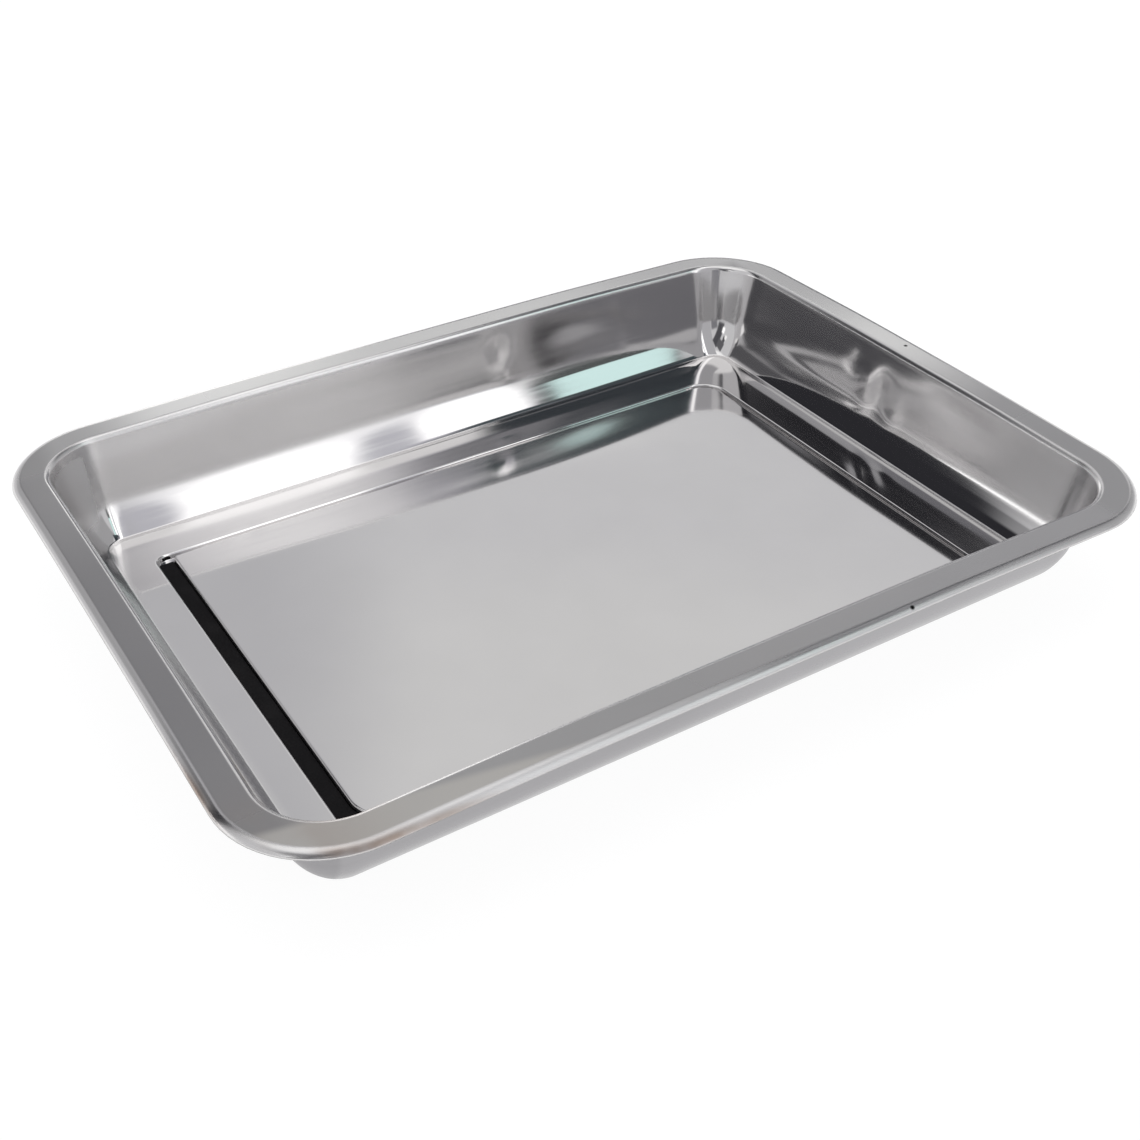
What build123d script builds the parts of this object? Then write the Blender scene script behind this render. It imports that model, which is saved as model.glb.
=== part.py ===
from build123d import *
import os
from math import cos, radians, sin

# A drawn stainless-steel tray: one pressed sheet (tray_pan), with a flat-bottomed
# channel along its left side, and the black strip that lies in it (channel_strip).
# Millimetres, +Z up, origin at the middle of the footprint on the standing plane.

# Overall size, over the rim
TRAY_LENGTH = 400.0          # along X
TRAY_WIDTH = 300.0           # along Y
TRAY_HEIGHT = 48.0           # standing plane to rim top
SHEET = 0.7                  # sheet thickness
CORNER_RADIUS = 41.5         # rim corner in plan, at the outermost edge

# Rim section, inset measured inwards from the outermost edge
RIM_EDGE_RADIUS = 4.0        # top surface of the turned-down outer edge
RIM_EDGE_TURN = 70.0         # degrees that the outer edge is turned down
RIM_FLAT_END = 13.3          # inset where the flat of the rim ends
RIM_INNER_RADIUS = 2.5       # top surface, where the rim rolls into the wall

# Wall section
WALL_DRAFT = 13.5            # degrees from vertical, the mouth wider than the floor
HEEL_RADIUS = 35.0           # inside radius that turns the wall towards the floor
HEEL_END_SLOPE = 45.0        # slope in degrees where the heel stops at the crease
CREASE_RADIUS = 1.2          # inside radius of the crease around the floor

# Floor, and the pressed recess in it: a narrow foot bead on three sides of the
# floor panel that widens to the channel on the fourth, so the tray stands on it
RECESS_DEPTH = 2.6           # floor surface down to the recess surface
RECESS_LEAN = 0.5            # how far each recess wall leans in over its depth
BEAD_WIDTH = 2.4             # bead, across the floor surface
FLOOR_TOP = SHEET + RECESS_DEPTH
FLOOR_MARGIN = 4.0           # flat floor carried by the swept section past the crease
FLOOR_LAP = 1.0              # overlap of the swept section and the middle of the floor
PANEL_INSET = 56.7           # rim edge to the panel, on the far and right sides
PANEL_NEAR_INSET = 46.7      # rim edge to the panel on the near side, which is less
PANEL_LEFT = -144.8          # X of the panel's left edge
PANEL_RADII = (18.0, 11.0, 11.0, 2.0)      # near-left, near-right, far-right, far-left
CHANNEL_WIDTH = 7.7          # across the floor surface, left of the panel
CHANNEL_END_RADIUS = 5.0     # its two outer corners in plan

# Black strip, lying on the channel's bottom
STRIP_THICKNESS = 0.7
STRIP_GAP = 0.15             # clear of the channel walls all round
STRIP_TOE = 4.0              # how far it follows the bead past the panel's left edge
STRIP_END_GAP = 3.0          # how far it stops short of the channel's far end


def tangent_path(start, heading, moves, offset):
    """Lines and tangent arcs from start, all shifted to the right by offset.

    A move is ("line", length) or ("arc", radius, turn), with the heading and turn
    in degrees and a left turn positive.
    """
    edges = []
    x, y = start
    angle = radians(heading)
    for move in moves:
        first = (x + offset * sin(angle), y - offset * cos(angle))
        if move[0] == "line":
            x += move[1] * cos(angle)
            y += move[1] * sin(angle)
            last = (x + offset * sin(angle), y - offset * cos(angle))
            edges.append(Line(first, last))
            continue
        radius, turn = move[1], radians(move[2])
        side = 1 if turn > 0 else -1
        centre_x = x - side * radius * sin(angle)
        centre_y = y + side * radius * cos(angle)
        shifted = side * radius + offset
        middle = angle + turn / 2
        angle += turn
        through = (centre_x + shifted * sin(middle), centre_y - shifted * cos(middle))
        last = (centre_x + shifted * sin(angle), centre_y - shifted * cos(angle))
        edges.append(ThreePointArc(first, through, last))
        x = centre_x + side * radius * sin(angle)
        y = centre_y - side * radius * cos(angle)
    return edges


def section_moves():
    """The top surface's section, from the rim's outer edge to the floor."""
    wall_angle = 90.0 - WALL_DRAFT
    wall_cos = cos(radians(wall_angle))
    heel_end_cos = cos(radians(HEEL_END_SLOPE))
    rim_edge_run = RIM_EDGE_RADIUS * sin(radians(RIM_EDGE_TURN))
    drop = TRAY_HEIGHT - FLOOR_TOP
    drop -= RIM_INNER_RADIUS * (1 - wall_cos)
    drop -= HEEL_RADIUS * (heel_end_cos - wall_cos)
    drop -= CREASE_RADIUS * (1 - heel_end_cos)
    return [
        ("arc", RIM_EDGE_RADIUS, -RIM_EDGE_TURN),
        ("line", RIM_FLAT_END - rim_edge_run),
        ("arc", RIM_INNER_RADIUS, -wall_angle),
        ("line", drop / cos(radians(WALL_DRAFT))),
        ("arc", HEEL_RADIUS, wall_angle - HEEL_END_SLOPE),
        ("arc", CREASE_RADIUS, HEEL_END_SLOPE),
        ("line", FLOOR_MARGIN),
    ]


def section_face():
    """Section of the sheet, x being the inset and y the height; also its inner end."""
    edge_drop = RIM_EDGE_RADIUS * (1 - cos(radians(RIM_EDGE_TURN)))
    start = (0.0, TRAY_HEIGHT - edge_drop)
    moves = section_moves()
    top = tangent_path(start, RIM_EDGE_TURN, moves, 0.0)
    under = tangent_path(start, RIM_EDGE_TURN, moves, SHEET)
    ends = [Line(top[0] @ 0, under[0] @ 0), Line(top[-1] @ 1, under[-1] @ 1)]
    return make_face(top + under + ends), (top[-1] @ 1).X


def rim_and_walls(face):
    """The section carried around the tray: straight sides and concentric corners."""
    straight_x = TRAY_LENGTH / 2 - CORNER_RADIUS
    straight_y = TRAY_WIDTH / 2 - CORNER_RADIUS
    left_plane = Plane(origin=(-TRAY_LENGTH / 2, 0, 0), x_dir=(1, 0, 0), z_dir=(0, -1, 0))
    near_plane = Plane(origin=(0, -TRAY_WIDTH / 2, 0), x_dir=(0, 1, 0), z_dir=(1, 0, 0))
    left_side = extrude(left_plane * face, straight_y, both=True)
    near_side = extrude(near_plane * face, straight_x, both=True)
    corner_axis = Axis((-straight_x, -straight_y, 0), (0, 0, 1))
    near_left = revolve(Pos(0, -straight_y, 0) * (left_plane * face), corner_axis, 90)
    half = [left_side, near_left, mirror(near_left, Plane.XZ)]
    sides = [near_side, mirror(near_side, Plane.XZ)]
    return Part() + half + sides + [mirror(piece, Plane.YZ) for piece in half]


def plan_face(left, right, near, far, radii):
    """Rectangle in plan with its own radius at each corner, near-left first."""
    corners = [(left, near), (right, near), (right, far), (left, far)]
    face = make_face(Polyline(*corners, close=True))
    for corner, radius in zip(corners, radii):
        nearest = face.vertices().sort_by_distance((*corner, 0))[0]
        face = fillet(nearest, radius)
    return face


def panel_plan(growth):
    """Outline of the floor panel, grown outwards by growth."""
    right = TRAY_LENGTH / 2 - PANEL_INSET + growth
    near = PANEL_NEAR_INSET - TRAY_WIDTH / 2 - growth
    far = TRAY_WIDTH / 2 - PANEL_INSET + growth
    radii = [radius + growth for radius in PANEL_RADII]
    return plan_face(PANEL_LEFT - growth, right, near, far, radii)


def recess_plan(growth):
    """Outer outline of the bead and the channel together, grown outwards by growth."""
    left = PANEL_LEFT - CHANNEL_WIDTH - growth
    right = TRAY_LENGTH / 2 - PANEL_INSET + BEAD_WIDTH + growth
    near = PANEL_NEAR_INSET - TRAY_WIDTH / 2 - BEAD_WIDTH - growth
    far = TRAY_WIDTH / 2 - PANEL_INSET + BEAD_WIDTH + growth
    end, bead = CHANNEL_END_RADIUS + growth, PANEL_RADII[1] + BEAD_WIDTH + growth
    return plan_face(left, right, near, far, (end, bead, bead, end))


def leaning_block(plan, bottom, top, bottom_growth, top_growth):
    """Solid between two heights, with the plan grown differently at each."""
    lower = Pos(0, 0, bottom) * plan(bottom_growth)
    upper = Pos(0, 0, top) * plan(top_growth)
    return loft([lower, upper], ruled=True)


def recess_solid(bottom, top, spare):
    """The recess as a ring, spare wider on both sides, from bottom to top."""
    bottom_growth = spare - RECESS_LEAN
    outer = leaning_block(recess_plan, bottom, top, bottom_growth, spare)
    inner = leaning_block(panel_plan, bottom, top, -bottom_growth, -spare)
    return outer - inner


def tray_pan():
    """The whole pressed sheet: rim, walls, floor, foot bead and channel."""
    face, reach = section_face()
    inset = reach - FLOOR_LAP
    outline = RectangleRounded(TRAY_LENGTH - 2 * inset, TRAY_WIDTH - 2 * inset, CORNER_RADIUS - inset)
    floor = extrude(Pos(0, 0, FLOOR_TOP - SHEET) * outline, SHEET)
    under = recess_solid(0, FLOOR_TOP - SHEET, SHEET)
    hollow = recess_solid(SHEET, FLOOR_TOP, 0)
    return rim_and_walls(face) + floor + under - hollow


def channel_strip():
    """Flat strip along the channel's bottom, its right side against the panel."""
    outer = recess_plan(-RECESS_LEAN - STRIP_GAP)
    inner = panel_plan(RECESS_LEAN + STRIP_GAP)
    reach = CHANNEL_WIDTH + STRIP_TOE
    middle = PANEL_LEFT - CHANNEL_WIDTH + reach / 2
    far = TRAY_WIDTH / 2 - PANEL_INSET + BEAD_WIDTH - RECESS_LEAN - STRIP_END_GAP
    window = Pos(middle, far - TRAY_WIDTH / 2) * Rectangle(reach, TRAY_WIDTH)
    return extrude(Pos(0, 0, SHEET) * ((outer - inner) & window), STRIP_THICKNESS)


os.makedirs("parts", exist_ok=True)
export_step(tray_pan(), "parts/tray_pan.step")
export_step(channel_strip(), "parts/channel_strip.step")
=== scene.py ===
from math import atan, cos, degrees, radians, sin, tan

import bpy
import numpy as np
from mathutils import Euler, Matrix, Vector, noise

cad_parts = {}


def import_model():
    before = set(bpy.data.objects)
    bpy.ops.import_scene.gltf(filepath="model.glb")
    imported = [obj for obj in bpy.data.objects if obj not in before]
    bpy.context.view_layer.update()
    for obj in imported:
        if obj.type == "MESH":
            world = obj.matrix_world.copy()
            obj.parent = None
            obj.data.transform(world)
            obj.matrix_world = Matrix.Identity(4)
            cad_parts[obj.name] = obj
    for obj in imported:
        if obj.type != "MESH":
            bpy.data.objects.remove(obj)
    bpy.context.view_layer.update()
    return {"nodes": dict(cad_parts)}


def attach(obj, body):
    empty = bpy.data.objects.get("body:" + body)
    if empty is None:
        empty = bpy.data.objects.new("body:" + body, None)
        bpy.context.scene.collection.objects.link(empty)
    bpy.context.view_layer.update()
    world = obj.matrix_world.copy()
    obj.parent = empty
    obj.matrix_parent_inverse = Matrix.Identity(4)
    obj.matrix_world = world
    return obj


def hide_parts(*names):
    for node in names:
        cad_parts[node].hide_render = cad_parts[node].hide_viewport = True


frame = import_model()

# Sizes in millimetres, the same as in the CAD source. Meshes are turned into metres at the end.
MM = 0.001
TRAY_LENGTH = 400.0
TRAY_WIDTH = 300.0
TRAY_HEIGHT = 48.0
SHEET = 0.7
CORNER_RADIUS = 41.5
RIM_EDGE_RADIUS = 4.0
RIM_EDGE_TURN = 70.0
RIM_FLAT_END = 13.3
RIM_INNER_RADIUS = 2.5
WALL_DRAFT = 13.5
HEEL_RADIUS = 35.0
HEEL_END_SLOPE = 45.0
CREASE_RADIUS = 1.2
RECESS_DEPTH = 2.6
RECESS_LEAN = 0.5
BEAD_WIDTH = 2.4
FLOOR_TOP = SHEET + RECESS_DEPTH
PANEL_INSET = 56.7
PANEL_NEAR_INSET = 46.7
PANEL_LEFT = -144.8
PANEL_RADII = (18.0, 11.0, 11.0, 2.0)
CHANNEL_WIDTH = 7.7
CHANNEL_END_RADIUS = 5.0
CHANNEL_LEFT = PANEL_LEFT - CHANNEL_WIDTH

# Bends of the pressed recess, on the upper surface
EDGE_BEND = 0.9
ROOT_BEND = 0.35

# How finely the sheet is meshed
CORNER_STEPS = 16
LONG_STEPS = 96
SHORT_STEPS = 72

# Short level steps beside each bend, which keep its shading within it
RIM_STEP = 0.4
WALL_STEP = 0.5
EDGE_STEP = 0.3
ROOT_STEP = 0.2
CREASE_STEPS = (0.4, 1.0)


def sample_path(start, moves, offset):
    """Points along lines and tangent arcs, shifted to the right by offset.

    A move is ("line", length, steps) or ("arc", radius, turn, steps), in millimetres and
    degrees; the path starts level, or at the heading given by a first ("head", degrees).
    """
    x, y = start
    angle = 0.0
    points = []
    for move in moves:
        if move[0] == "head":
            angle = radians(move[1])
            points.append((x + offset * sin(angle), y - offset * cos(angle)))
            continue
        if move[0] == "line":
            length, steps = move[1], move[2]
            for i in range(1, steps + 1):
                along = length * i / steps
                px = x + along * cos(angle) + offset * sin(angle)
                py = y + along * sin(angle) - offset * cos(angle)
                points.append((px, py))
            x += length * cos(angle)
            y += length * sin(angle)
            continue
        radius, turn, steps = move[1], radians(move[2]), move[3]
        side = 1 if turn > 0 else -1
        centre_x = x - side * radius * sin(angle)
        centre_y = y + side * radius * cos(angle)
        shifted = side * radius + offset
        for i in range(1, steps + 1):
            a = angle + turn * i / steps
            points.append((centre_x + shifted * sin(a), centre_y - shifted * cos(a)))
        angle += turn
        x = centre_x + side * radius * sin(angle)
        y = centre_y - side * radius * cos(angle)
    return points


def wall_moves():
    """The sheet's section from the rim's outer edge to the flat floor."""
    wall_angle = 90.0 - WALL_DRAFT
    wall_cos = cos(radians(wall_angle))
    heel_end_cos = cos(radians(HEEL_END_SLOPE))
    flat = RIM_FLAT_END - RIM_EDGE_RADIUS * sin(radians(RIM_EDGE_TURN))
    drop = TRAY_HEIGHT - FLOOR_TOP
    drop -= RIM_INNER_RADIUS * (1 - wall_cos)
    drop -= HEEL_RADIUS * (heel_end_cos - wall_cos)
    drop -= CREASE_RADIUS * (1 - heel_end_cos)
    wall = drop / cos(radians(WALL_DRAFT))
    return [
        ("head", RIM_EDGE_TURN),
        ("arc", RIM_EDGE_RADIUS, -RIM_EDGE_TURN, 8),
        ("line", RIM_STEP, 1),
        ("line", flat - 2 * RIM_STEP, 4),
        ("line", RIM_STEP, 1),
        ("arc", RIM_INNER_RADIUS, -wall_angle, 8),
        ("line", WALL_STEP, 1),
        ("line", wall - 2 * WALL_STEP, 8),
        ("line", WALL_STEP, 1),
        ("arc", HEEL_RADIUS, wall_angle - HEEL_END_SLOPE, 12),
        ("arc", CREASE_RADIUS, HEEL_END_SLOPE, 6),
        ("line", CREASE_STEPS[0], 1),
        ("line", CREASE_STEPS[1], 1),
    ]


def recess_moves(descending):
    """The recess wall's section, from the floor down to its bottom, or up again."""
    slope = degrees(atan(RECESS_DEPTH / RECESS_LEAN))
    level = 1 - cos(radians(slope))
    wall = (RECESS_DEPTH - (EDGE_BEND + ROOT_BEND) * level) / sin(radians(slope))
    if descending:
        bends = [("arc", EDGE_BEND, -slope, 6), ("line", wall, 3), ("arc", ROOT_BEND, slope, 4)]
        return [("head", 0), ("line", EDGE_STEP, 1)] + bends + [("line", ROOT_STEP, 1)]
    bends = [("arc", ROOT_BEND, slope, 4), ("line", wall, 3), ("arc", EDGE_BEND, -slope, 6)]
    return [("head", 0), ("line", ROOT_STEP, 1)] + bends + [("line", EDGE_STEP, 1)]


def outline(left, right, near, far, radii):
    """Rounded rectangle in plan, counter-clockwise from the near-left corner's arc."""
    rnl, rnr, rfr, rfl = radii
    corners = [
        (left + rnl, near + rnl, rnl, 180, LONG_STEPS),
        (right - rnr, near + rnr, rnr, 270, SHORT_STEPS),
        (right - rfr, far - rfr, rfr, 0, LONG_STEPS),
        (left + rfl, far - rfl, rfl, 90, SHORT_STEPS),
    ]
    arcs = []
    for cx, cy, radius, first, _ in corners:
        turns = np.radians(first + 90.0 * np.arange(CORNER_STEPS + 1) / CORNER_STEPS)
        arcs.append(np.column_stack((cx + radius * np.cos(turns), cy + radius * np.sin(turns))))
    points = []
    for i, corner in enumerate(corners):
        steps = corner[4]
        share = (np.arange(1, steps) / steps)[:, None]
        start, end = arcs[i][-1], arcs[(i + 1) % 4][0]
        points.append(arcs[i])
        points.append(start + (end - start) * share)
    return np.vstack(points)


def rim_ring(inset):
    """Outline at an inset from the rim's outer edge; its corners are concentric."""
    half_x, half_y = TRAY_LENGTH / 2 - inset, TRAY_WIDTH / 2 - inset
    return outline(-half_x, half_x, -half_y, half_y, (CORNER_RADIUS - inset,) * 4)


def recess_ring(growth):
    """Outer outline of the foot bead and the channel together."""
    right = TRAY_LENGTH / 2 - PANEL_INSET + BEAD_WIDTH + growth
    near = PANEL_NEAR_INSET - TRAY_WIDTH / 2 - BEAD_WIDTH - growth
    far = TRAY_WIDTH / 2 - PANEL_INSET + BEAD_WIDTH + growth
    end, bead = CHANNEL_END_RADIUS + growth, PANEL_RADII[1] + BEAD_WIDTH + growth
    return outline(CHANNEL_LEFT - growth, right, near, far, (end, bead, bead, end))


def panel_ring(growth):
    """Outline of the raised floor panel."""
    right = TRAY_LENGTH / 2 - PANEL_INSET + growth
    near = PANEL_NEAR_INSET - TRAY_WIDTH / 2 - growth
    far = TRAY_WIDTH / 2 - PANEL_INSET + growth
    radii = [max(radius + growth, 0.6) for radius in PANEL_RADII]
    return outline(PANEL_LEFT - growth, right, near, far, radii)


def at_height(ring, height):
    return np.column_stack((ring, np.full(len(ring), height)))


def blended(first, last, shares):
    return [first + (last - first) * share for share in shares]


def surface_rings(offset):
    """Rings of one surface of the sheet, from the rim's edge to inside the floor panel."""
    edge_drop = RIM_EDGE_RADIUS * (1 - cos(radians(RIM_EDGE_TURN)))
    section = sample_path((0.0, TRAY_HEIGHT - edge_drop), wall_moves(), offset)
    rings = [at_height(rim_ring(inset), height) for inset, height in section]
    slope = atan(RECESS_DEPTH / RECESS_LEAN)
    edge_run, root_run = EDGE_BEND * tan(slope / 2), ROOT_BEND * tan(slope / 2)
    start = (-edge_run - EDGE_STEP, FLOOR_TOP)
    down = sample_path(start, recess_moves(True), offset)
    down = [at_height(recess_ring(-run), height) for run, height in down]
    rings += blended(rings[-1], down[0], (0.1, 0.3, 0.5, 0.7, 0.9))
    rings += down
    start = (-RECESS_LEAN - root_run - ROOT_STEP, SHEET)
    up = sample_path(start, recess_moves(False), offset)
    up = [at_height(panel_ring(-run), height) for run, height in up]
    rings += blended(rings[-1], up[0], (0.33, 0.67))
    rings += up
    for inset in (2.0, 4.0, 7.0):
        rings.append(at_height(panel_ring(-inset), up[-1][0, 2]))
    return rings


def patch_inside(ring):
    """Grid of points that fills the last ring; each corner arc is halved between two sides."""
    half = CORNER_STEPS // 2
    long_count, short_count = LONG_STEPS + CORNER_STEPS, SHORT_STEPS + CORNER_STEPS
    turned = np.roll(ring, -half, axis=0)
    near = turned[:long_count + 1]
    right = turned[long_count:long_count + short_count + 1]
    far = turned[long_count + short_count:2 * long_count + short_count + 1][::-1]
    left = np.vstack((turned[2 * long_count + short_count:], turned[:1]))[::-1]
    u = np.linspace(0, 1, long_count + 1)[:, None, None]
    v = np.linspace(0, 1, short_count + 1)[None, :, None]
    grid = near[:, None] * (1 - v) + far[:, None] * v
    grid = grid + left[None] * (1 - u) + right[None] * u
    grid -= near[0] * (1 - u) * (1 - v) + near[-1] * u * (1 - v)
    grid -= far[0] * (1 - u) * v + far[-1] * u * v
    return grid


def ring_index(column, row, long_count, short_count):
    """Position in the last ring of a border point of the grid, or None inside it."""
    around = 2 * (long_count + short_count)
    half = CORNER_STEPS // 2
    if row == 0:
        place = column
    elif column == long_count:
        place = long_count + row
    elif row == short_count:
        place = long_count + short_count + (long_count - column)
    elif column == 0:
        place = 2 * long_count + short_count + (short_count - row)
    else:
        return None
    return (place + half) % around


def sheet_surface(offset):
    """Vertices and faces of one surface of the sheet, facing up."""
    rings = surface_rings(offset)
    count = len(rings[0])
    vertices = [point for ring in rings for point in ring]
    faces = []
    for i in range(len(rings) - 1):
        for j in range(count):
            k = (j + 1) % count
            faces.append((i * count + j, i * count + k, (i + 1) * count + k, (i + 1) * count + j))
    grid = patch_inside(rings[-1])
    long_count, short_count = grid.shape[0] - 1, grid.shape[1] - 1
    border = (len(rings) - 1) * count
    index = {}
    for column in range(long_count + 1):
        for row in range(short_count + 1):
            place = ring_index(column, row, long_count, short_count)
            if place is None:
                index[column, row] = len(vertices)
                vertices.append(grid[column, row])
            else:
                index[column, row] = border + place
    for column in range(long_count):
        for row in range(short_count):
            corners = ((column, row), (column + 1, row), (column + 1, row + 1), (column, row + 1))
            faces.append(tuple(index[corner] for corner in corners))
    return np.array(vertices), faces, count


# How the pressed sheet departs from its ideal shape, in millimetres
CORNER_DROOP = 1.6           # rim corners below the middle of the sides
PANEL_CROWN = 1.9            # floor panel, higher in its middle than at its edges
WALL_WAVE = 0.35             # slow in-and-out waviness of the walls
WALL_WAVE_LENGTH = 75        # its scale along the walls, and up them
WALL_WAVE_RISE = 30
WALL_WAVE_SEED = 1794882127  # fixes the walls' waves, which Blender otherwise seeds by the clock
FLOOR_WAVE = 0.05            # waviness of the floor, and its scale
FLOOR_WAVE_LENGTH = 55
PLATE_LENGTH = 145.0         # half sizes of the floor panel, and the middle of its width
PLATE_WIDTH = 98.3
PLATE_MIDDLE = -5.0

# Dents: centre, direction they are pushed in, half sizes along X, Y and Z, depth
DENTS = [
    ((182.0, 27.0, 35.0), (1, 0, 0), (30, 5.0, 7.0), 0.45),
    ((180.0, 16.0, 28.0), (1, 0, 0), (30, 3.5, 8.0), -0.50),
    ((180.0, 6.0, 27.0), (1, 0, 0), (30, 5.0, 8.0), 0.60),
    ((178.5, -5.0, 22.0), (1, 0, 0), (30, 4.0, 5.0), -0.30),
    ((182.7, -47.0, 38.0), (1, 0, 0), (30, 20.0, 8.0), 0.40),
    ((180.0, 60.0, 28.0), (1, 0, 0), (30, 30.0, 12.0), -0.35),
    ((41.0, 131.0, 34.0), (0, 1, 0), (4.0, 30, 7.0), 0.35),
    ((43.0, 130.0, 24.0), (0, 1, 0), (5.0, 30, 5.0), -0.25),
    ((90.0, 130.0, 27.0), (0, 1, 0), (30.0, 30, 8.0), 0.45),
    ((-98.0, 131.0, 28.0), (0, 1, 0), (4.0, 30, 4.0), 0.12),
]


def smooth_step(value, low, high):
    share = np.clip((value - low) / (high - low), 0, 1)
    return share * share * (3 - 2 * share)


def droop_and_crown(points):
    """Height lost at the rim's corners, and gained in the middle of the floor panel."""
    x, y, z = points.T
    corner = smooth_step(abs(x), 70, 190) * smooth_step(abs(y), 30, 140)
    droop = CORNER_DROOP * corner * (z - FLOOR_TOP).clip(0) / (TRAY_HEIGHT - FLOOR_TOP)
    plate = (1 - (x / PLATE_LENGTH) ** 2).clip(0) ** 2
    plate *= (1 - ((y - PLATE_MIDDLE) / PLATE_WIDTH) ** 2).clip(0)
    return PANEL_CROWN * plate - droop


def waviness(points):
    """Slow waves of the walls, in and out, and of the floor, up only."""
    noise.seed_set(WALL_WAVE_SEED)
    z = points[:, 2]
    shift = np.zeros_like(points)
    wall_share = smooth_step(z, 4, 14) * (1 - smooth_step(z, 36, 45))
    floor_share = 1 - smooth_step(z, 3.5, 6)
    for i, (px, py, pz) in enumerate(points):
        if wall_share[i] > 0:
            place = (px / WALL_WAVE_LENGTH, py / WALL_WAVE_LENGTH, pz / WALL_WAVE_RISE)
            wave = noise.noise_vector(Vector(place))
            shift[i, 0] = WALL_WAVE * wall_share[i] * wave[0]
            shift[i, 1] = WALL_WAVE * wall_share[i] * wave[1]
        if floor_share[i] > 0:
            wave = noise.noise(Vector((px / FLOOR_WAVE_LENGTH, py / FLOOR_WAVE_LENGTH, 3)))
            shift[i, 2] = FLOOR_WAVE * floor_share[i] * (1 + wave)
    return shift


def deformation(points):
    """Shift of each point of the upper surface; the lower surface follows it."""
    z = points[:, 2]
    shift = waviness(points)
    shift[:, 2] += droop_and_crown(points)
    wall_share = smooth_step(z, 4, 9) * (1 - smooth_step(z, 40, 44))
    for centre, push, reach, depth in DENTS:
        apart = ((points - centre) / reach) ** 2
        amount = depth * np.exp(-apart.sum(axis=1)) * wall_share
        shift += amount[:, None] * np.array(push)
    return shift


def paint_share(mesh, name, shares):
    """Number from 0 to 1 at each vertex, for the material to read."""
    layer = mesh.attributes.new(name, "FLOAT", "POINT")
    layer.data.foreach_set("value", np.asarray(shares, dtype=np.float32))


def pan_object():
    top, faces, count = sheet_surface(0.0)
    under, _, _ = sheet_surface(SHEET)
    shift = deformation(top)
    top = (top + shift) * MM
    under = (under + shift) * MM
    first = len(top)
    shell = faces + [tuple(first + i for i in reversed(face)) for face in faces]
    for j in range(count):
        k = (j + 1) % count
        shell.append((j, first + j, first + k, k))
    mesh = bpy.data.meshes.new("tray_pan_sheet")
    mesh.from_pydata(np.vstack((top, under)).tolist(), [], shell)
    mesh.shade_smooth()
    paint_share(mesh, "under", np.arange(2 * first) >= first)
    level = abs(top[:, 2] - shift[:, 2] * MM - TRAY_HEIGHT * MM) < 1e-6
    paint_share(mesh, "rim_flat", np.concatenate((level, np.zeros_like(level))))
    pan = bpy.data.objects.new("tray_pan_sheet", mesh)
    bpy.context.collection.objects.link(pan)
    return pan


class Nodes:
    """Short calls for building one node tree."""

    def __init__(self, tree):
        self.tree = tree

    def add(self, kind, **settings):
        node = self.tree.nodes.new(kind)
        for name, value in settings.items():
            setattr(node, name, value)
        return node

    def feed(self, socket, value):
        if isinstance(value, bpy.types.NodeSocket):
            self.tree.links.new(value, socket)
        else:
            socket.default_value = value

    def math(self, operation, first, second=0.0):
        node = self.add("ShaderNodeMath", operation=operation)
        self.feed(node.inputs[0], first)
        self.feed(node.inputs[1], second)
        return node.outputs[0]

    def ramp(self, value, low, high, bottom=0.0, top=1.0):
        """Smooth step from bottom to top as value goes from low to high."""
        node = self.add("ShaderNodeMapRange", interpolation_type="SMOOTHSTEP")
        for socket, number in zip(node.inputs, (value, low, high, bottom, top)):
            self.feed(socket, number)
        return node.outputs[0]

    def window(self, value, low, high, feather):
        """One between low and high, fading to nothing over the feather outside."""
        rise = self.ramp(value, low - feather, low)
        fall = self.ramp(value, high, high + feather, 1.0, 0.0)
        return self.math("MULTIPLY", rise, fall)

    def mix(self, share, first, second):
        node = self.add("ShaderNodeMix", data_type="RGBA")
        self.feed(node.inputs[0], share)
        self.feed(node.inputs[6], first)
        self.feed(node.inputs[7], second)
        return node.outputs[2]

    def split(self, vector):
        """The X, Y and Z of a vector."""
        node = self.add("ShaderNodeSeparateXYZ")
        self.feed(node.inputs[0], vector)
        return tuple(node.outputs)

    def painted(self, name):
        """Number that paint_share has written on the mesh."""
        return self.add("ShaderNodeAttribute", attribute_name=name).outputs["Fac"]

    def noise(self, place, scale, detail):
        """Noise with its own scale along X, Y and Z, in features per metre."""
        stretch = self.add("ShaderNodeMapping")
        self.feed(stretch.inputs[0], place)
        stretch.inputs["Scale"].default_value = scale
        texture = self.add("ShaderNodeTexNoise")
        self.feed(texture.inputs["Vector"], stretch.outputs[0])
        texture.inputs["Scale"].default_value = 1.0
        texture.inputs["Detail"].default_value = detail
        return texture.outputs["Fac"]

    def spot(self, place, centre, inner, outer):
        """One within the inner radius of a place, fading to nothing at the outer one."""
        away = self.add("ShaderNodeVectorMath", operation="DISTANCE")
        self.feed(away.inputs[0], place)
        away.inputs[1].default_value = centre
        return self.ramp(away.outputs["Value"], inner, outer, 1.0, 0.0)

    def scale(self, colour, factor):
        node = self.add("ShaderNodeVectorMath", operation="SCALE")
        self.feed(node.inputs[0], colour)
        self.feed(node.inputs["Scale"], factor)
        return node.outputs[0]

    def bump(self, height, depth, normal):
        node = self.add("ShaderNodeBump")
        node.inputs["Strength"].default_value = 1.0
        node.inputs["Distance"].default_value = depth
        self.feed(node.inputs["Height"], height)
        if normal is not None:
            self.feed(node.inputs["Normal"], normal)
        return node.outputs[0]


def principled(n):
    shader = n.add("ShaderNodeBsdfPrincipled")
    n.feed(n.add("ShaderNodeOutputMaterial").inputs[0], shader.outputs[0])
    return shader


def new_material(name):
    """Empty material, with its node tree ready for short calls."""
    material = bpy.data.materials.new(name)
    material.use_nodes = True
    material.node_tree.nodes.clear()
    return material, Nodes(material.node_tree)


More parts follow.
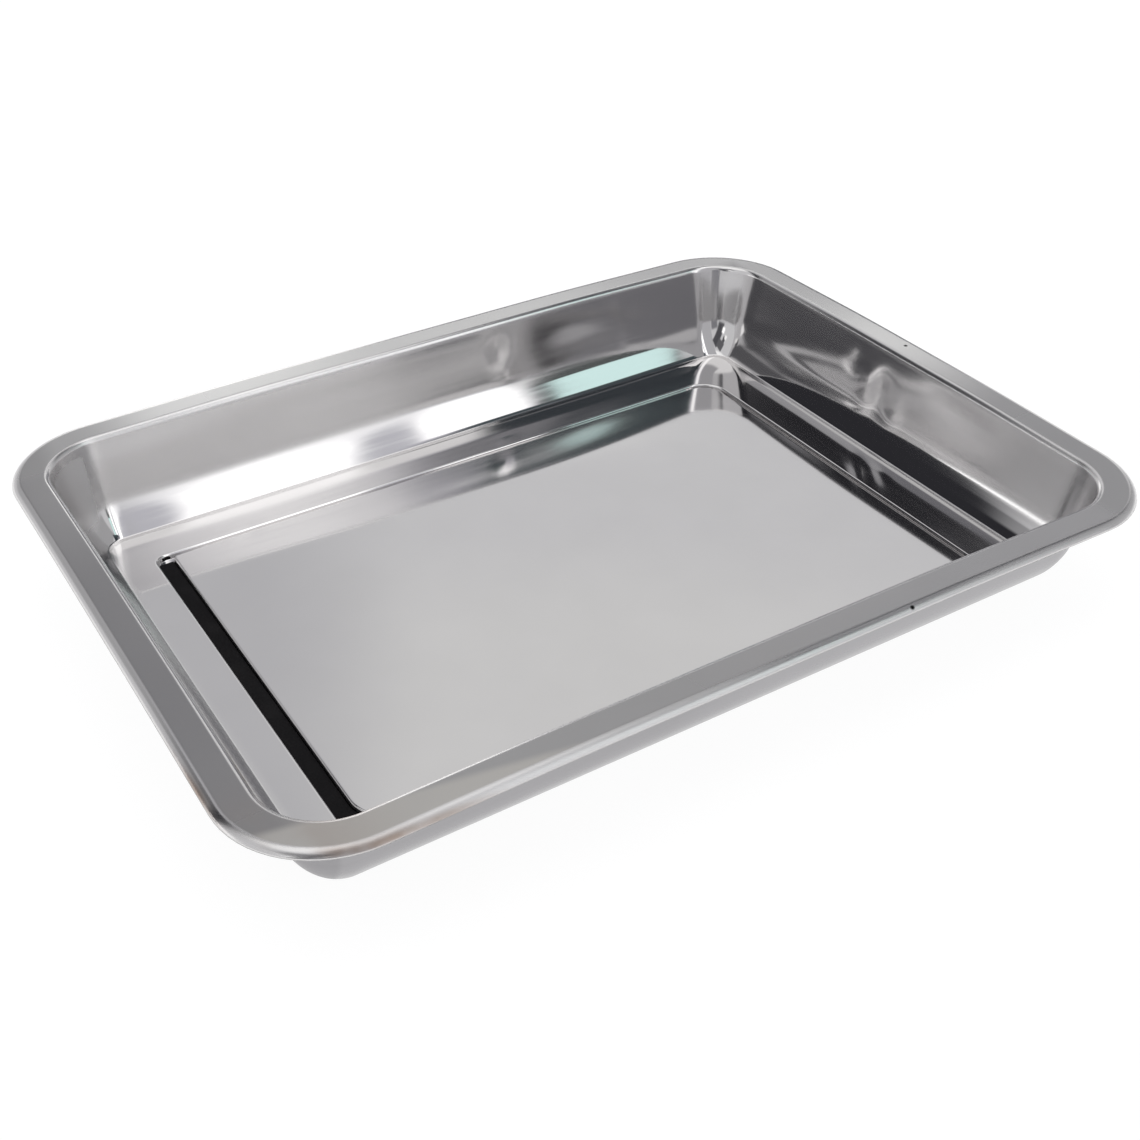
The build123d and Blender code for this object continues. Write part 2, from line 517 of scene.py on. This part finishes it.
# Colours of the strip and of its dust, and the depth of its pebble in metres
RUBBER_BASE = (0.0045, 0.0038, 0.0048)
DUST_BASE = (0.010, 0.009, 0.010)
PEBBLE_DEPTH = 0.00002

# The studio paper's colour and own light, and half the side of its sheet in metres
PAPER_BASE = (0.14, 0.14, 0.14)
PAPER_LIGHT = 0.92
PAPER_HALF = 6.0


def strip_material():
    """Matte black rubber: fine pebble, faint dust and slightly polished patches."""
    material, n = new_material("strip")
    place = n.add("ShaderNodeTexCoord").outputs["Object"]
    cloud = n.noise(place, (60, 60, 60), 3.0)
    pebble = n.noise(place, (1400, 1400, 1400), 2.0)
    shader = principled(n)
    dust = n.ramp(cloud, 0.45, 0.75)
    n.feed(shader.inputs["Base Color"], n.mix(dust, (*RUBBER_BASE, 1), (*DUST_BASE, 1)))
    n.feed(shader.inputs["Roughness"], n.ramp(pebble, 0.3, 0.7, 0.50, 0.68))
    n.feed(shader.inputs["Normal"], n.bump(pebble, PEBBLE_DEPTH, None))
    shader.inputs["Specular IOR Level"].default_value = 0.12
    return material


def paper_material():
    """Seamless white studio paper, softly lit from behind."""
    material, n = new_material("studio_paper")
    place = n.add("ShaderNodeTexCoord").outputs["Object"]
    fibre = n.ramp(n.noise(place, (300, 300, 300), 3.0), 0.3, 0.7, 0.98, 1.0)
    shader = principled(n)
    n.feed(shader.inputs["Base Color"], n.scale(PAPER_BASE, fibre))
    shader.inputs["Roughness"].default_value = 0.9
    shader.inputs["Emission Color"].default_value = (1, 1, 1, 1)
    shader.inputs["Emission Strength"].default_value = PAPER_LIGHT
    return material


# Camera: focal length and sensor in millimetres, place in metres, angles in degrees
CAMERA_LENS = 48.12
CAMERA_SENSOR = 36.0
CAMERA_PLACE = (-0.28302, -0.46133, 0.38235)
CAMERA_TURN = -31.587
CAMERA_TILT = 54.485
CAMERA_ROLL = -0.648


def camera():
    data = bpy.data.cameras.new("camera")
    data.lens = CAMERA_LENS
    data.sensor_width = CAMERA_SENSOR
    view = bpy.data.objects.new("camera", data)
    view.location = CAMERA_PLACE
    turn = Euler((0, 0, radians(CAMERA_TURN))).to_matrix()
    turn = turn @ Euler((radians(CAMERA_TILT), 0, 0)).to_matrix()
    turn = turn @ Euler((0, 0, radians(CAMERA_ROLL))).to_matrix()
    view.rotation_euler = turn.to_euler()
    bpy.context.collection.objects.link(view)
    bpy.context.scene.camera = view


def floor():
    mesh = bpy.data.meshes.new("studio_floor")
    half = PAPER_HALF
    corners = [(-half, -half, 0), (half, -half, 0), (half, half, 0), (-half, half, 0)]
    mesh.from_pydata(corners, [], [(0, 1, 2, 3)])
    ground = bpy.data.objects.new("studio_floor", mesh)
    bpy.context.collection.objects.link(ground)
    mesh.materials.append(paper_material())
    return ground


# Base colours of the steel; the rim's flat has its own, with painted highlight and painted shade from
# side to side
STEEL_BASE = (0.70, 0.69, 0.69)
RIM_BASE = (0.40, 0.395, 0.40)
# Painted highlight: the far and right sides of the rim's flat lighter than the rest of it
RIM_PAINTED_HIGHLIGHT_BASE = (0.70, 0.695, 0.69)
# Painted shade: the left side of the rim's flat darker than the rest of it
RIM_LEFT_PAINTED_SHADE_BASE = (0.31, 0.305, 0.31)
# Warm tint at the near-left corner of the rim's flat, lighter there as a painted highlight
RIM_CORNER_TINT_AND_HIGHLIGHT_BASE = (0.53, 0.515, 0.495)
UNDER_BASE = (0.39, 0.383, 0.395)
STAIN_BASE = (0.36, 0.29, 0.25)

# Roughness of the polished sheet, and what haze adds to it where it is full
POLISHED = 0.055
WALL_HAZE = 0.17
RIM_HAZE = 0.12
HEEL_HAZE = 0.18
UNDER_HAZE = 0.17

# Places and radii on the steel, in metres: the stain, and dark specks on the rim
STAIN_CENTRE = (-0.183, -0.135, 0.044)
STAIN_INNER = 0.035
STAIN_OUTER = 0.075
SPECKS = [(0.193, 0.007, 0.048), (0.196, -0.007, 0.047), (0.0557, -0.1487, 0.0471)]
SPECK_INNER = 0.0004
SPECK_OUTER = 0.0013

# Scales of the steel's noises along X, Y and Z, in features per metre
CLOUD_SCALE = (30, 30, 30)
LINES_SCALE = (8, 8, 500)
GRAIN_SCALE = (40, 700, 40)

# Depth of the drawing lines and of the grain, in metres
LINES_DEPTH = 0.0000005
GRAIN_DEPTH = 0.0000003


def satin_share(n, x, y):
    """How hazy the walls are: most on the left of the long ones and at the near-right corner."""
    long_walls = n.ramp(n.math("ABSOLUTE", y), 0.110, 0.125)
    left_part = n.math("MULTIPLY", long_walls, n.ramp(x, 0.03, -0.06))
    near_right = n.math("MULTIPLY", n.ramp(x, 0.160, 0.170), n.ramp(y, -0.010, -0.110))
    share = n.ramp(left_part, 0.0, 1.0, 0.35, 1.0)
    return n.math("ADD", share, n.math("MULTIPLY", near_right, 0.6))


def rim_colour_with_painted_light(n, x, y):
    """Painted highlight on the far and right sides, painted shade on the left, and a warm tint with a
    painted highlight at the near-left corner.
    """
    far_rim = n.math("MULTIPLY", n.ramp(y, 0.118, 0.136), n.ramp(x, -0.168, -0.120))
    right_rim = n.math("MULTIPLY", n.ramp(x, 0.176, 0.188), n.ramp(y, -0.06, 0.02))
    # The far and right sides get a painted highlight
    light = n.math("MAXIMUM", far_rim, right_rim)
    colour = n.mix(light, (*RIM_BASE, 1), (*RIM_PAINTED_HIGHLIGHT_BASE, 1))
    # The left side gets painted shade
    colour = n.mix(n.ramp(x, -0.172, -0.186), colour, (*RIM_LEFT_PAINTED_SHADE_BASE, 1))
    # The near-left corner gets a warm tint and a painted highlight
    slant = n.math("ADD", x, n.math("MULTIPLY", n.math("ADD", y, 0.140), 5.25))
    corner = n.math("MULTIPLY", n.ramp(slant, -0.112, -0.134), n.ramp(y, -0.112, -0.132))
    return n.mix(corner, colour, (*RIM_CORNER_TINT_AND_HIGHLIGHT_BASE, 1))


def stain_share(n, place, cloud):
    """Patchy brown stain on the turned-down edge around the near-left corner."""
    _, _, height = n.split(place)
    edge = n.math("MULTIPLY", n.ramp(height, 0.0440, 0.0450), n.ramp(height, 0.0470, 0.0455))
    patchy = n.math("MULTIPLY", edge, n.ramp(cloud, 0.35, 0.6))
    return n.math("MULTIPLY", n.spot(place, STAIN_CENTRE, STAIN_INNER, STAIN_OUTER), patchy)


def steel_shade(n, place, cloud, under):
    """Factor on the colour: cloudy, with painted shade low on the under side, and dark at each speck.
    """
    _, _, height = n.split(place)
    # Painted shade: the under side darker towards the floor
    painted_low_shade = n.math("MULTIPLY", under, n.ramp(height, 0.020, 0.008, 0.0, 0.16))
    shade = n.math("SUBTRACT", n.ramp(cloud, 0.2, 0.8, 0.985, 1.015), painted_low_shade)
    for speck in SPECKS:
        dark = n.spot(place, speck, SPECK_INNER, SPECK_OUTER)
        shade = n.math("MULTIPLY", shade, n.math("SUBTRACT", 1.0, dark))
    return shade


def steel_roughness(n, place, lines, under, rim):
    """Polished, with haze on the walls, the rim, the left heel, the under side and the bends."""
    x, y, height = n.split(place)
    wall = n.math("MULTIPLY", n.window(height, 0.019, 0.044, 0.009), satin_share(n, x, y))
    left_heel = n.math("MULTIPLY", n.ramp(x, -0.1645, -0.1675), n.window(height, 0.004, 0.040, 0.002))
    hazes = [(wall, WALL_HAZE), (rim, RIM_HAZE), (left_heel, HEEL_HAZE), (under, UNDER_HAZE)]
    rough = POLISHED
    for share, haze in hazes:
        rough = n.math("ADD", rough, n.math("MULTIPLY", share, haze))
    bends = n.math("MULTIPLY", n.ramp(height, 0.0440, 0.0455), n.math("SUBTRACT", 1.0, rim))
    near_lip = n.ramp(y, -0.1455, -0.1465, 0.08, 0.18)
    rough = n.math("ADD", rough, n.math("MULTIPLY", bends, near_lip))
    return n.math("ADD", rough, n.ramp(lines, 0.35, 0.75, -0.01, 0.02))


def steel_material():
    """Polished stainless steel with fine drawing lines, hazed, stained and specked by use, with
    painted light on the rim's flat and painted shade low on the under side.
    """
    material, n = new_material("steel")
    place = n.add("ShaderNodeTexCoord").outputs["Object"]
    x, y, _ = n.split(place)
    under = n.painted("under")
    rim = n.painted("rim_flat")
    cloud = n.noise(place, CLOUD_SCALE, 3.0)
    lines = n.noise(place, LINES_SCALE, 2.0)
    grain = n.noise(place, GRAIN_SCALE, 2.0)
    colour = n.mix(rim, (*STEEL_BASE, 1), rim_colour_with_painted_light(n, x, y))
    colour = n.mix(under, colour, (*UNDER_BASE, 1))
    colour = n.mix(stain_share(n, place, cloud), colour, (*STAIN_BASE, 1))
    shader = principled(n)
    shader.inputs["Metallic"].default_value = 1.0
    n.feed(shader.inputs["Base Color"], n.scale(colour, steel_shade(n, place, cloud, under)))
    n.feed(shader.inputs["Roughness"], steel_roughness(n, place, lines, under, rim))
    n.feed(shader.inputs["Normal"], n.bump(lines, LINES_DEPTH, n.bump(grain, GRAIN_DEPTH, None)))
    return material


# The studio's plain brightness, behind all of its panels
STUDIO_BASE = (0.73, 0.73, 0.745)

# Soft panels of the studio around the tray, each later one in front of the earlier ones.
# "sky" panels are placed by azimuth from +X towards +Y and by height above the horizon.
# "front" and "left" panels are arches: the first pair is the share of the direction along X
# or Y, and the second the angle up and over from the horizon at -Y or -X. Then the feather
# of each pair, and the brightness.
STUDIO_PANELS = [
    ("sky", (-180, 180), (62, 90), (1, 6), (1.20, 1.20, 1.20)),
    ("sky", (50, 72), (40, 60), (18, 8), (0.79, 0.79, 0.79)),
    ("sky", (74, 82), (31, 44), (8, 5), (0.60, 0.60, 0.62)),
    ("sky", (-40, 22), (10, 42), (6, 4), (0.45, 0.45, 0.46)),
    ("sky", (26, 36), (4, 22), (2.5, 3), (0.95, 0.95, 0.95)),
    ("sky", (41, 75), (24.4, 27.5), (2, 1.5), (0.98, 0.98, 0.97)),
    ("sky", (41, 66), (23.8, 26.0), (2, 1.2), (1.45, 1.45, 1.44)),
    ("sky", (39.5, 46), (4, 21), (3, 3), (0.13, 0.13, 0.15)),
    ("sky", (47, 68), (9, 23.3), (3, 1.5), (0.20, 0.20, 0.22)),
    ("sky", (70.0, 82), (8, 23.5), (2, 2.5), (1.95, 1.95, 1.92)),
    ("sky", (145, 165), (-2, 8), (3, 4), (1.45, 1.45, 1.45)),
    ("sky", (84, 104), (46, 56), (5, 3), (0.62, 0.62, 0.64)),
    ("sky", (-12, 42), (47, 52), (8, 3), (0.10, 0.10, 0.11)),
    ("sky", (84, 122), (20, 58), (4, 4), (0.46, 0.46, 0.47)),
    ("front", (-0.60, -0.36), (4, 20), (0.04, 5), (0.25, 0.25, 0.27)),
    ("front", (0.37, 0.52), (108, 122), (0.04, 6), (0.20, 0.20, 0.21)),
    ("front", (0.38, 0.48), (154, 162), (0.03, 2), (0.20, 0.20, 0.22)),
    ("front", (-0.30, 0.19), (-10, 75), (0.015, 10), (0.55, 0.55, 0.57)),
    ("front", (0.19, 0.46), (-10, 75), (0.02, 8), (0.62, 0.62, 0.67)),
    ("front", (0.225, 0.315), (7, 100), (0.02, 10), (1.8, 1.8, 1.8)),
    ("front", (0.375, 0.430), (10, 53), (0.012, 4), (1.8, 1.8, 1.8)),
    ("front", (0.38, 0.48), (60, 74), (0.03, 3), (0.32, 0.32, 0.34)),
    ("front", (0.415, 0.53), (75, 104), (0.02, 3), (0.06, 0.07, 0.08)),
    ("front", (0.56, 0.80), (100, 118), (0.03, 4), (0.05, 0.05, 0.06)),
    ("front", (0.47, 0.60), (56, 80), (0.02, 1.2), (0.05, 0.06, 0.07)),
    ("front", (0.40, 0.60), (56, 60), (0.025, 1.2), (0.07, 0.09, 0.10)),
    ("front", (0.442, 0.525), (2, 54), (0.003, 6), (0.10, 0.11, 0.11)),
    ("front", (0.455, 0.520), (24, 54.5), (0.004, 1), (0.86, 1.15, 1.12)),
    ("left", (0.47, 0.56), (26, 44), (0.03, 4), (0.36, 0.36, 0.37)),
    ("left", (0.55, 0.69), (-5, 82), (0.025, 4), (0.03, 0.03, 0.035)),
    ("left", (0.48, 0.60), (42, 84), (0.02, 6), (0.03, 0.03, 0.035)),
    ("left", (0.53, 0.70), (75, 95), (0.02, 2), (0.25, 0.25, 0.27)),
    ("left", (0.63, 0.70), (75, 95), (0.04, 2), (0.50, 0.50, 0.52)),
    ("left", (0.50, 0.66), (5.5, 7.5), (0.03, 1.5), (2.2, 2.2, 2.2)),
    ("left", (-0.70, -0.49), (12, 62), (0.04, 6), (0.10, 0.10, 0.11)),
    ("left", (-0.34, -0.24), (34, 44), (0.03, 4), (0.12, 0.12, 0.13)),
    ("left", (-0.50, -0.20), (44, 58), (0.05, 4), (0.15, 0.15, 0.16)),
    ("left", (-0.49, -0.40), (19, 27), (0.03, 4), (1.60, 1.60, 1.60)),
    ("left", (-0.27, -0.18), (30, 34), (0.03, 3), (1.25, 1.25, 1.24)),
]


def world():
    sky = bpy.data.worlds.new("studio")
    sky.use_nodes = True
    sky.node_tree.nodes.clear()
    n = Nodes(sky.node_tree)
    direction = n.add("ShaderNodeTexCoord").outputs["Generated"]
    x, y, z = n.split(direction)
    azimuth = n.math("DEGREES", n.math("ARCTAN2", y, x))
    height = n.math("DEGREES", n.math("ARCSINE", z))
    over_x = n.math("DEGREES", n.math("ARCTAN2", z, n.math("MULTIPLY", y, -1.0)))
    over_y = n.math("DEGREES", n.math("ARCTAN2", z, n.math("MULTIPLY", x, -1.0)))
    places = {"sky": (azimuth, height), "front": (x, over_x), "left": (y, over_y)}
    colour = (*STUDIO_BASE, 1)
    for kind, turn, rise, feather, bright in STUDIO_PANELS:
        across = n.window(places[kind][0], *turn, feather[0])
        up = n.window(places[kind][1], *rise, feather[1])
        colour = n.mix(n.math("MULTIPLY", across, up), colour, (*bright, 1))
    background = n.add("ShaderNodeBackground")
    n.feed(background.inputs[0], colour)
    n.feed(n.add("ShaderNodeOutputWorld").inputs[0], background.outputs[0])
    bpy.context.scene.world = sky


pan = pan_object()
pan.data.materials.append(steel_material())
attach(pan, "root")
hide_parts("tray_pan")
strip = frame["nodes"]["channel_strip"]
strip.data.materials.clear()
strip.data.materials.append(strip_material())
ground = floor()
world()
camera()
bpy.context.scene.view_settings.view_transform = "Standard"
